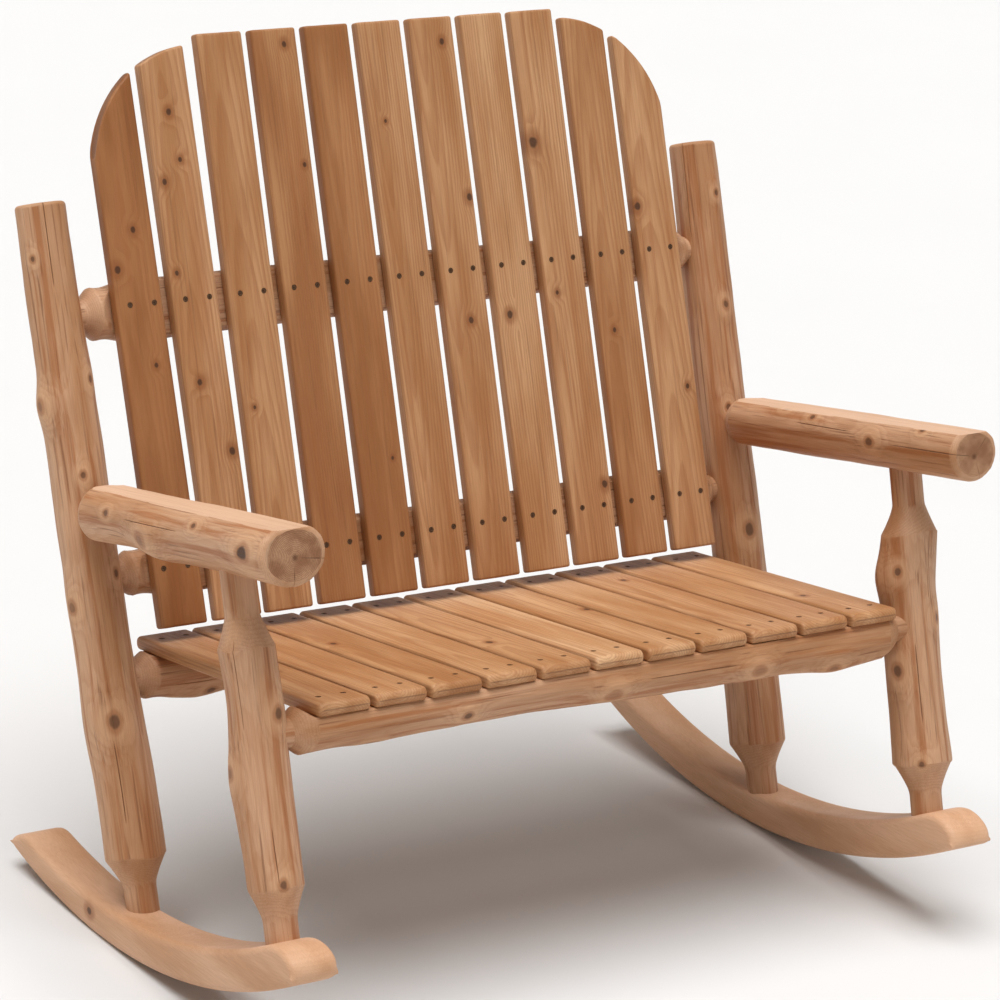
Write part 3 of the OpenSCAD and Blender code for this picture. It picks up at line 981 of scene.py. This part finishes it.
def log_paint(log):
    """Peeled log: pale tan with long orange streaks, ringed bumps, dark knots and fine fibres."""
    paint = Paint("wood_" + log.node)
    shift = (log.seed * 1.7, log.seed * 2.3, log.seed * 0.9)
    spots = []
    for k in log.knots:
        radius = log.natural(k.along, k.turn) - 0.001
        x, y = log.centre(k.along)
        spot = (x + radius * math.cos(k.turn), y + radius * math.sin(k.turn), k.along)
        spots.append((spot, 0.6 * k.size, k.dark))
    nearest, core = knot_marks(paint, spots, (1, 1, 0.75))
    around = paint.vector("LENGTH", paint.vector("MULTIPLY", paint.place, (1, 1, 0)))
    drift = paint.noise(paint.moved((9, 9, 1.6), shift), detail=2)
    ripple = paint.noise(paint.moved((38, 38, 3.2), shift), detail=2)
    pull = paint.span(nearest, 5.0, 0.8, 0.0, 0.003)
    depth = paint.plus(around, paint.times(drift, 0.016))
    depth = paint.plus(depth, paint.times(ripple, 0.0065))
    rings = growth_rings(paint, paint.plus(depth, pull), 0.0021)
    patch = paint.patches((16, 16, 2.2), shift, 0.36, 0.64)
    streak = paint.patches((75, 75, 2.4), shift, 0.48, 0.66, detail=4, roughness=0.6)
    fibre = paint.noise(paint.moved((900, 900, 26), shift), detail=2)
    lines = paint.patches((260, 260, 5), shift, 0.56, 0.74)
    facing = paint.parts(paint.normal)
    along = paint.span(paint.math("ABSOLUTE", facing[2]), 0.1, 0.32, 1.0, 0.2)
    streak = paint.times(streak, along)
    lines = paint.times(lines, along)
    pale = shade(212, 170, 136)
    tan = shade(188, 140, 100)
    colour = paint.mix(patch, pale, tan)
    colour = paint.tinted(colour, shade(172, 115, 71), rings, 0.2)
    colour = paint.tinted(colour, shade(166, 100, 50), streak, 0.7)
    colour = paint.tinted(colour, shade(124, 76, 44), lines, 0.6)
    halo = paint.times(paint.span(nearest, 3.8, 1.6), 0.5)
    colour = paint.mix(halo, colour, shade(222, 178, 138))
    collar = paint.times(paint.span(nearest, 1.7, 1.05), 0.55)
    colour = paint.mix(collar, colour, shade(160, 100, 58))
    colour = paint.mix(core, colour, shade(84, 56, 38))
    colour = paint.mix(paint.span(fibre, 0.3, 0.7, 0.0, 0.16), colour, shade(120, 76, 46))
    # The arm's planed flat top is painted paler. This is partly the fresh planed wood's own colour and
    # partly a painted highlight where the top faces up towards the light.
    if log.flats and log.crisp:
        planed = paint.times(paint.span(facing[0], 0.955, 0.985), 0.6)
        colour = paint.mix(planed, colour, shade(240, 204, 174))
    tone = shade(*(round(255 - 60 * (log.tone - 0.2) * c) for c in (0.55, 0.8, 1.0)))
    colour = paint.mix(1.0, colour, tone, "MULTIPLY")
    height = paint.plus(paint.times(rings, -0.35), paint.times(fibre, 0.5))
    height = paint.minus(height, paint.times(lines, 0.8))
    height = paint.minus(height, paint.times(core, 1.5))
    roughness = paint.span(fibre, 0.2, 0.8, 0.5, 0.64)
    return paint.finish(colour, roughness, height, 0.0006)


def log_end_paint(log):
    """The sawn end of a log: fine rings round the pith, greyer and darker than its side."""
    paint = Paint("end_" + log.node)
    shift = (log.seed * 1.3, log.seed * 0.7, 0)
    wobble = paint.noise(paint.moved((28, 28, 4), shift), detail=2)
    off_centre = (0.003 * wander(log.seed, 1.1), 0.004 * wander(log.seed, 4.4), 0)
    flat_place = paint.vector("MULTIPLY", paint.vector("SUBTRACT", paint.place, off_centre), (1, 1, 0))
    radius = paint.vector("LENGTH", flat_place)
    rings = growth_rings(paint, paint.plus(radius, paint.times(wobble, 0.005)), 0.0024)
    patch = paint.patches((34, 34, 1), shift, 0.35, 0.68)
    grain = paint.noise(paint.moved((420, 420, 420)), detail=2)
    colour = paint.mix(patch, shade(190, 146, 112), shade(150, 106, 76))
    colour = paint.tinted(colour, shade(116, 74, 48), rings, 0.5)
    colour = paint.mix(paint.span(radius, 0.006, 0.0015, 0.0, 0.7), colour, shade(88, 54, 34))
    colour = paint.mix(paint.span(grain, 0.3, 0.75, 0.0, 0.3), colour, shade(104, 68, 46))
    rim = paint.span(radius, 0.9 * log.end_r, log.end_r, 0.0, 0.45)
    colour = paint.mix(rim, colour, shade(214, 176, 142))
    height = paint.plus(paint.times(rings, 0.5), paint.times(grain, 0.7))
    return paint.finish(colour, 0.72, height, 0.0005, 0.25)


def board_rings(paint, seed, nearest):
    """Growth rings of a flat-sawn board, which make arches along its face."""
    shift = (seed * 2.1, seed * 1.1, seed * 0.6)
    sway = paint.noise(paint.moved((1.5, 1.5, 1.3), shift), detail=1)
    drift = paint.noise(paint.moved((14, 14, 2.4), shift), detail=2)
    pith_x = 0.012 * math.sin(seed * 2.4)
    pith_depth = 0.026 + 0.014 * math.sin(seed * 1.3)
    tilt = 0.030 * math.sin(seed * 3.9 + 1)
    axes = paint.parts(paint.place)
    x = paint.minus(axes[0], pith_x)
    x = paint.plus(x, paint.times(sway, 0.03))
    y = paint.plus(axes[1], pith_depth * (1 if seed % 2 else -1))
    y = paint.plus(y, paint.times(axes[2], tilt))
    joined = paint.tree.nodes.new("ShaderNodeCombineXYZ")
    paint.put(joined.inputs[0], x)
    paint.put(joined.inputs[1], y)
    radius = paint.vector("LENGTH", joined.outputs[0])
    radius = paint.plus(radius, paint.times(drift, 0.010))
    pull = paint.span(nearest, 5.0, 0.8, 0.0, 0.005)
    return growth_rings(paint, paint.plus(radius, pull), 0.0042)


def board_paint(board, end=False):
    """Planed board: arched grain from tan to orange brown, small dark knots and fine fibres."""
    paint = Paint(("end_" if end else "wood_") + board.node)
    shift = (board.seed * 1.9, board.seed * 0.7, board.seed * 1.3)
    spots = [((k.across, 0, k.along), k.size, k.dark) for k in board.knots]
    nearest, core = knot_marks(paint, spots, (1, 0, 0.8))
    rings = board_rings(paint, board.seed, nearest)
    patch = paint.patches((22, 22, 3), shift, 0.35, 0.65)
    streak = paint.patches((120, 120, 2.6), shift, 0.48, 0.7, detail=4, roughness=0.6)
    fibre = paint.noise(paint.moved((1100, 1100, 30), shift), detail=2)
    lines = paint.patches((300, 300, 5), shift, 0.58, 0.76)
    light = shade_between((226, 184, 142), (168, 114, 70), board.tone)
    deep = shade_between((204, 154, 108), (142, 88, 46), board.tone)
    colour = paint.mix(patch, light, deep)
    colour = paint.tinted(colour, shade(150, 92, 50), rings, 0.34)
    colour = paint.tinted(colour, shade(160, 98, 54), streak, 0.4)
    colour = paint.tinted(colour, shade(112, 68, 38), lines, 0.3)
    collar = paint.times(paint.span(nearest, 2.6, 1.1), 0.6)
    colour = paint.mix(collar, colour, shade(140, 82, 42))
    colour = paint.mix(core, colour, shade(48, 28, 18))
    colour = paint.mix(paint.span(fibre, 0.3, 0.7, 0.0, 0.18), colour, shade(110, 66, 36))
    if end:
        colour = paint.mix(0.45, colour, shade(92, 56, 34))
    height = paint.plus(paint.times(rings, 0.35), paint.times(fibre, 0.5))
    height = paint.minus(height, paint.times(lines, 0.7))
    height = paint.minus(height, paint.times(core, 1.2))
    return paint.finish(colour, paint.span(fibre, 0.2, 0.8, 0.46, 0.6), height, 0.0005)


def rocker_paint(node, seed, spots):
    """Smooth sawn plank: pale pinkish tan with soft lengthwise grain and a few knots."""
    paint = Paint("wood_" + node)
    shift = (seed * 1.1, seed * 0.6, seed * 1.7)
    marks = [((0, along, height), size, 0.8) for along, height, size in spots]
    nearest, core = knot_marks(paint, marks, (0, 0.8, 1))
    axes = paint.parts(paint.place)
    curve = paint.times(paint.times(axes[1], axes[1]), -0.22)
    depth = paint.plus(axes[2], curve)
    drift = paint.noise(paint.moved((9, 1.8, 9), shift), detail=2)
    depth = paint.plus(depth, paint.times(drift, 0.03))
    rings = growth_rings(paint, paint.plus(depth, paint.span(nearest, 5.0, 0.8, 0.0, 0.006)), 0.0052)
    patch = paint.patches((14, 3, 14), shift, 0.35, 0.65)
    fibre = paint.noise(paint.moved((900, 30, 900), shift), detail=2)
    colour = paint.mix(patch, shade(218, 174, 140), shade(200, 152, 114))
    colour = paint.tinted(colour, shade(176, 120, 78), rings, 0.07)
    collar = paint.times(paint.span(nearest, 2.6, 1.1), 0.6)
    colour = paint.mix(collar, colour, shade(150, 92, 52))
    colour = paint.mix(core, colour, shade(58, 34, 22))
    colour = paint.mix(paint.span(fibre, 0.3, 0.7, 0.0, 0.15), colour, shade(128, 82, 50))
    height = paint.plus(paint.times(rings, 0.2), paint.times(fibre, 0.4))
    return paint.finish(colour, paint.span(fibre, 0.2, 0.8, 0.48, 0.6), height, 0.0004)


def screw_paint():
    """Dark coated steel, with light wear."""
    paint = Paint("screw_steel")
    wear = paint.noise(paint.moved((400, 400, 400)), detail=2)
    colour = paint.mix(wear, shade(84, 60, 44), shade(122, 94, 72))
    paint.shader.inputs["Metallic"].default_value = 0.7
    return paint.finish(colour, paint.span(wear, 0.3, 0.7, 0.36, 0.55), wear, 0.0001)


def floor_paint():
    paint = Paint("floor")
    mottle = paint.noise(paint.moved((2, 2, 2)), detail=2)
    colour = paint.mix(mottle, (0.72, 0.72, 0.72), (0.74, 0.74, 0.74))
    return paint.finish(colour, 0.9, mottle, 0.0001, 0.2)


# ---- the chair's pieces ----


LOGS = [
    Log(
        "rear_post_left", -UP, FRONT, 1,
        [Knot(0.31, -27, 0.016, 0.003), Knot(0.48, -80, 0.012, 0.003, 0.5), Knot(0.52, 27, 0.009),
         Knot(0.665, -18, 0.008), Knot(0.80, 33, 0.009), Knot(0.77, -85, 0.012, 0.004, 0.4),
         Knot(0.98, -60, 0.007), Knot(0.42, 150, 0.011), Knot(0.87, 190, 0.01)],
        [Crack(-35, 0.16, 0.29), Crack(160, 0.55, 0.8), Crack(-20, 0.93, 1.1)],
        hollow=1.25, rough=1.3, rim=0.006, tone=0.5,
        drifts=[(0.5, 0.0, 0, 0.007)],
        waves=[Wave(0.31, 0.05, 0.003, -80), Wave(0.77, 0.03, 0.004, -80)],
    ),
    Log(
        "rear_post_right", -UP, FRONT, 2,
        [Knot(0.446, -6, 0.015, 0.003), Knot(0.64, -20, 0.008), Knot(0.80, 6, 0.01),
         Knot(0.975, 14, 0.008), Knot(0.26, -60, 0.011), Knot(0.70, 170, 0.012), Knot(0.35, 120, 0.01)],
        [Crack(15, 0.47, 0.62), Crack(200, 0.3, 0.5), Crack(-60, 0.9, 1.1)],
        hollow=1.25, rough=1.3, rim=0.006, tone=0.6,
        drifts=[(0.5, 0.0, 0, -0.003)],
    ),
    Log(
        "front_post_left", -UP, FRONT, 3,
        [Knot(0.517, -50, 0.007), Knot(0.473, -58, 0.012, 0.0035), Knot(0.35, 22, 0.013, 0.003),
         Knot(0.119, -14, 0.01), Knot(0.275, -100, 0.012, 0.003, 0.4), Knot(0.3, 140, 0.012)],
        [Crack(-55, 0.33, 0.46), Crack(-22, 0.12, 0.2), Crack(120, 0.2, 0.36)],
        hollow=1.25, rough=1.4, tone=0.42,
        drifts=[(0.3, 0.1, 0, 0.002)],
        waves=[Wave(0.25, 0.06, 0.005, -100), Wave(0.38, 0.05, -0.003, -110)],
    ),
    Log(
        "front_post_right", -UP, FRONT, 4,
        [Knot(0.404, -57, 0.01), Knot(0.257, -70, 0.014, 0.004), Knot(0.115, -40, 0.008),
         Knot(0.33, 30, 0.01), Knot(0.2, 150, 0.012)],
        [Crack(-30, 0.17, 0.3), Crack(10, 0.36, 0.46)],
        hollow=1.25, rough=1.4, tone=0.62,
        drifts=[(0.36, 0.5, 0.010, 0.010), (0.3, 0.1, 0, 0.002)],
        waves=[Wave(0.4, 0.03, 0.006, -120), Wave(0.1, 0.05, 0.003)],
    ),
    Log(
        "arm_left", -FRONT, UP, 5,
        [Knot(0.545, 82, 0.018, 0.005, 1.0), Knot(0.265, 98, 0.016, 0.006, 0.35), Knot(0.40, 60, 0.008),
         Knot(0.15, 70, 0.009), Knot(0.33, -80, 0.012, 0.003)],
        [Crack(176, 0.5, 0.7), Crack(262, 0.44, 0.7), Crack(74, 0.2, 0.36)],
        oval=0.0035, rim=0.008, crisp=True, tone=0.45,
        waves=[Wave(0.4, 0.8, 0.005, 48), Wave(0.4, 0.8, 0.005, -48), Wave(0.28, 0.03, 0.003, 120),
            Wave(0.16, 0.08, -0.008, 120)],
    ),
    Log(
        "arm_right", -FRONT, UP, 6,
        [Knot(0.204, 38, 0.009), Knot(0.278, 51, 0.009), Knot(0.537, 43, 0.008),
         Knot(0.426, 80, 0.012, 0.003), Knot(0.36, -70, 0.011)],
        [Crack(195, 0.52, 0.7), Crack(80, 0.47, 0.7), Crack(320, 0.55, 0.7), Crack(66, 0.24, 0.38)],
        oval=0.001, rim=0.008, crisp=True, tone=0.55,
        waves=[Wave(0.4, 0.8, 0.005, 48), Wave(0.4, 0.8, 0.005, -48)],
    ),
    Log(
        "upper_back_rail", LEFT, FRONT, 7,
        [Knot(0.08, 10, 0.008), Knot(0.3, 170, 0.013), Knot(0.75, 150, 0.014), Knot(0.55, -60, 0.01)],
        [Crack(180, 0.35, 0.7)],
        hollow=2.2, tone=0.55,
        waves=[Wave(0.075, 0.03, -0.009)],
    ),
    Log(
        "lower_back_rail", LEFT, FRONT, 8,
        [Knot(0.25, 190, 0.013), Knot(0.85, 165, 0.012), Knot(0.5, 120, 0.01)],
        [Crack(170, 0.2, 0.45)],
        hollow=2.2, tone=0.6,
        waves=[Wave(0.075, 0.03, -0.007)],
    ),
    Log(
        "rear_seat_rail", LEFT, FRONT, 9,
        [Knot(0.157, 37, 0.012), Knot(0.12, 70, 0.014, 0.005, 0.3), Knot(0.7, 60, 0.012),
         Knot(0.45, 170, 0.014)],
        [Crack(8, 0.09, 0.3), Crack(150, 0.6, 0.9)],
        hollow=2.0, tone=0.75,
        waves=[Wave(0.55, 0.6, -0.003), Wave(0.08, 0.04, -0.007, 75)],
    ),
    Log(
        "front_seat_rail", LEFT, FRONT, 10,
        [Knot(0.315, 5, 0.01, 0.004), Knot(0.563, 17, 0.014, 0.006, 0.15),
         Knot(0.816, 13, 0.013, 0.006, 0.2), Knot(0.17, 60, 0.014, 0.004, 0.3),
         Knot(0.96, 40, 0.012, 0.004, 0.4), Knot(0.5, 110, 0.012)],
        [Crack(30, 0.35, 0.5), Crack(-5, 0.62, 0.78)],
        rough=1.5, bend=0.004, hollow=1.6, tone=0.6,
        waves=[Wave(0.42, 0.3, -0.008, 60), Wave(0.12, 0.1, -0.006, 80), Wave(0.98, 0.07, 0.007, 60)],
    ),
]

# What grew in each slat, numbered from the left: its tone from pale to deep, and its knots
BACK_SLATS = [
    (1.0, [BoardKnot(0.52, -0.033), BoardKnot(0.575, 0.0, 0.005), BoardKnot(0.378, 0.01, 0.004)], -0.013),
    (0.45, [BoardKnot(0.74, -0.009, 0.005), BoardKnot(0.67, 0.0, 0.004), BoardKnot(0.64, -0.03, 0.005),
        BoardKnot(0.507, -0.029, 0.004), BoardKnot(0.346, -0.014, 0.005),
        BoardKnot(0.242, 0.025, 0.006)], -0.012),
    (0.5, [BoardKnot(0.3, -0.02, 0.003)]),
    (0.75, [BoardKnot(0.646, 0.024, 0.004), BoardKnot(0.826, 0.015, 0.005)]),
    (0.8, [BoardKnot(0.2, 0.02, 0.003)]),
    (0.5, [BoardKnot(0.7, -0.01, 0.003)]),
    (0.48, [BoardKnot(0.812, 0.015, 0.005), BoardKnot(0.575, 0.029, 0.006),
        BoardKnot(0.39, 0.005, 0.005)]),
    (0.35, [BoardKnot(0.392, -0.016, 0.006)]),
    (0.42, [BoardKnot(0.648, -0.027, 0.009), BoardKnot(0.417, -0.017, 0.004),
        BoardKnot(0.117, 0.026, 0.006)]),
    (0.62, [BoardKnot(0.35, -0.012, 0.004)]),
    (0.42, [BoardKnot(0.535, -0.032, 0.006), BoardKnot(0.25, 0.02, 0.004)]),
]
SEAT_SLATS = [
    (0.5, [BoardKnot(0.2, 0.01, 0.004)]),
    (0.5, []),
    (0.55, [BoardKnot(0.3, -0.02, 0.005)]),
    (0.4, []),
    (0.5, [BoardKnot(0.173, -0.018, 0.006)]),
    (0.15, []),
    (0.35, [BoardKnot(0.268, 0.034, 0.006)]),
    (0.35, []),
    (0.45, [BoardKnot(0.4, 0.01, 0.005)]),
    (0.5, []),
    (0.4, [BoardKnot(0.15, -0.02, 0.005)]),
]
BACK_END_R = 0.004
SEAT_END_R = 0.009


def add_logs():
    """Posts, arms and rails, planed where slats lie or hands rest, and drilled for lock screws."""
    logs = {log.node: log for log in LOGS}
    back = [f"back_slat_{i + 1}" for i in range(SLATS)]
    seat = [f"seat_slat_{i + 1}" for i in range(SLATS)]
    plane_rails(logs["upper_back_rail"], back, FRONT, UP)
    plane_rails(logs["lower_back_rail"], back, FRONT, UP)
    plane_rails(logs["rear_seat_rail"], seat, UP, -FRONT)
    plane_rails(logs["front_seat_rail"], seat, UP, -FRONT)
    plane_arm(logs["arm_left"], "arm_left_top")
    plane_arm(logs["arm_right"], "arm_right_top")
    screws = screws_of("rail_lock_screws") + screws_of("arm_lock_screws")
    for log in LOGS:
        made = log_piece(log, log_paint(log), log_end_paint(log))
        if "post" in log.node:
            drill(made, [s for s in screws if in_log(log, s)], depth=0.006, above=0.012)


def in_log(log, screw):
    """Whether a screw's head is in this log."""
    p = log.place.inverted() @ screw.head
    return 0 < p.z < log.length and math.hypot(p.x, p.y) < 1.2 * log.start_r


def add_boards():
    """The slats of the back and the seat, drilled for their screws."""
    kinds = [
        ("back", FRONT, UP, BACK_SLATS, BACK_END_R, ("back_screws_upper", "back_screws_lower"), 20),
        ("seat", UP, -FRONT, SEAT_SLATS, SEAT_END_R, ("seat_screws_front", "seat_screws_rear"), 60),
    ]
    for kind, facing, along, looks, end_r, screw_nodes, seed in kinds:
        screws = [s for node in screw_nodes for s in screws_of(node)]
        for i, (tone, knots, *lean) in enumerate(looks):
            board = Board(f"{kind}_slat_{i + 1}", facing, along, seed + i, end_r, tone, knots, *lean)
            made = board_piece(board, board_paint(board), board_paint(board, end=True))
            into = board.place.inverted()
            drill(made, [s for s in screws if abs((into @ s.head).x) < board.half_w])


def add_rockers():
    """Both rockers. Each knot is how far along it is, its height and its radius."""
    knots = {
        "rocker_left": [(0.1, 0.03, 0.007), (-0.17, 0.025, 0.006)],
        "rocker_right": [(-0.2, 0.03, 0.007)],
    }
    for node, side, seed in (("rocker_left", -1, 90), ("rocker_right", 1, 91)):
        rocker_piece(node, side, seed, rocker_paint(node, seed, knots[node]))


def add_screws():
    """One piece for each CAD node of screws."""
    steel = screw_paint()
    for node in sorted(n for n in frame["nodes"] if "screws" in n):
        screws_piece(node, steel)


# ---- floor, light and camera ----


def add_floor():
    """A wide pale floor that curves up into a low wall all round."""
    turns = [math.radians(90 - 6 * i) for i in range(16)]
    curve = [(COVE_R * (1 - math.cos(a)), FLOOR_R + COVE_R * math.sin(a)) for a in turns]
    rows = [(WALL_H, FLOOR_R + COVE_R)] + curve + [(0, MIDDLE_R)]
    verts, faces = [], []
    lathe(rows, 120, Matrix(), verts, faces)
    open_top = -2
    del faces[open_top]
    mesh = bpy.data.meshes.new("floor")
    mesh.from_pydata(verts, [], faces)
    mesh.shade_smooth()
    mesh.materials.append(floor_paint())
    floor = in_scene("floor", mesh)


MIDDLE_R = 20
FLOOR_R = 24
COVE_R = 6
WALL_H = 11


SKY_COLOUR = (1, 0.94, 0.86, 1)
SKY_STRENGTH = 0.22
LIGHT_TOWARDS = Vector((-0.12, -0.1, 1))
LIGHT_WIDTH = math.radians(50)
LIGHT_STRENGTH = 3.5


def add_studio_light():
    """A dim warm sky, and one very soft light from overhead."""
    world = bpy.data.worlds.new("studio")
    bpy.context.scene.world = world
    world.use_nodes = True
    background = world.node_tree.nodes["Background"]
    background.inputs["Color"].default_value = SKY_COLOUR
    background.inputs["Strength"].default_value = SKY_STRENGTH
    data = bpy.data.lights.new("overhead", "SUN")
    data.energy = LIGHT_STRENGTH
    data.angle = LIGHT_WIDTH
    light = in_scene("overhead", data)
    light.rotation_mode = "QUATERNION"
    light.rotation_quaternion = LIGHT_TOWARDS.to_track_quat("Z", "Y")


CAMERA_PLACE = Vector((-3.505, -5.0468, 2.7365))
CAMERA_HEADING = math.radians(34.69)
CAMERA_DIP = math.radians(19.03)
CAMERA_ROLL = math.radians(4.62)
CAMERA_LENS = 160.26


def add_camera():
    """The camera of the chair's picture: to the chair's front left, above it, slightly rolled."""
    ahead = Vector((math.sin(CAMERA_HEADING), math.cos(CAMERA_HEADING), 0))
    look = ahead * math.cos(CAMERA_DIP) - UP * math.sin(CAMERA_DIP)
    level = Vector((math.cos(CAMERA_HEADING), -math.sin(CAMERA_HEADING), 0))
    above = level.cross(look)
    right = level * math.cos(CAMERA_ROLL) + above * math.sin(CAMERA_ROLL)
    up = above * math.cos(CAMERA_ROLL) - level * math.sin(CAMERA_ROLL)
    data = bpy.data.cameras.new("camera")
    data.sensor_width = 36
    data.lens = CAMERA_LENS
    data.clip_start, data.clip_end = 0.1, 100
    camera = in_scene("camera", data)
    camera.matrix_world = axes_matrix(right, up, -look, CAMERA_PLACE)
    bpy.context.scene.camera = camera


add_logs()
add_boards()
add_rockers()
add_screws()
add_floor()
add_studio_light()
add_camera()
bpy.context.scene.view_settings.view_transform = "Standard"
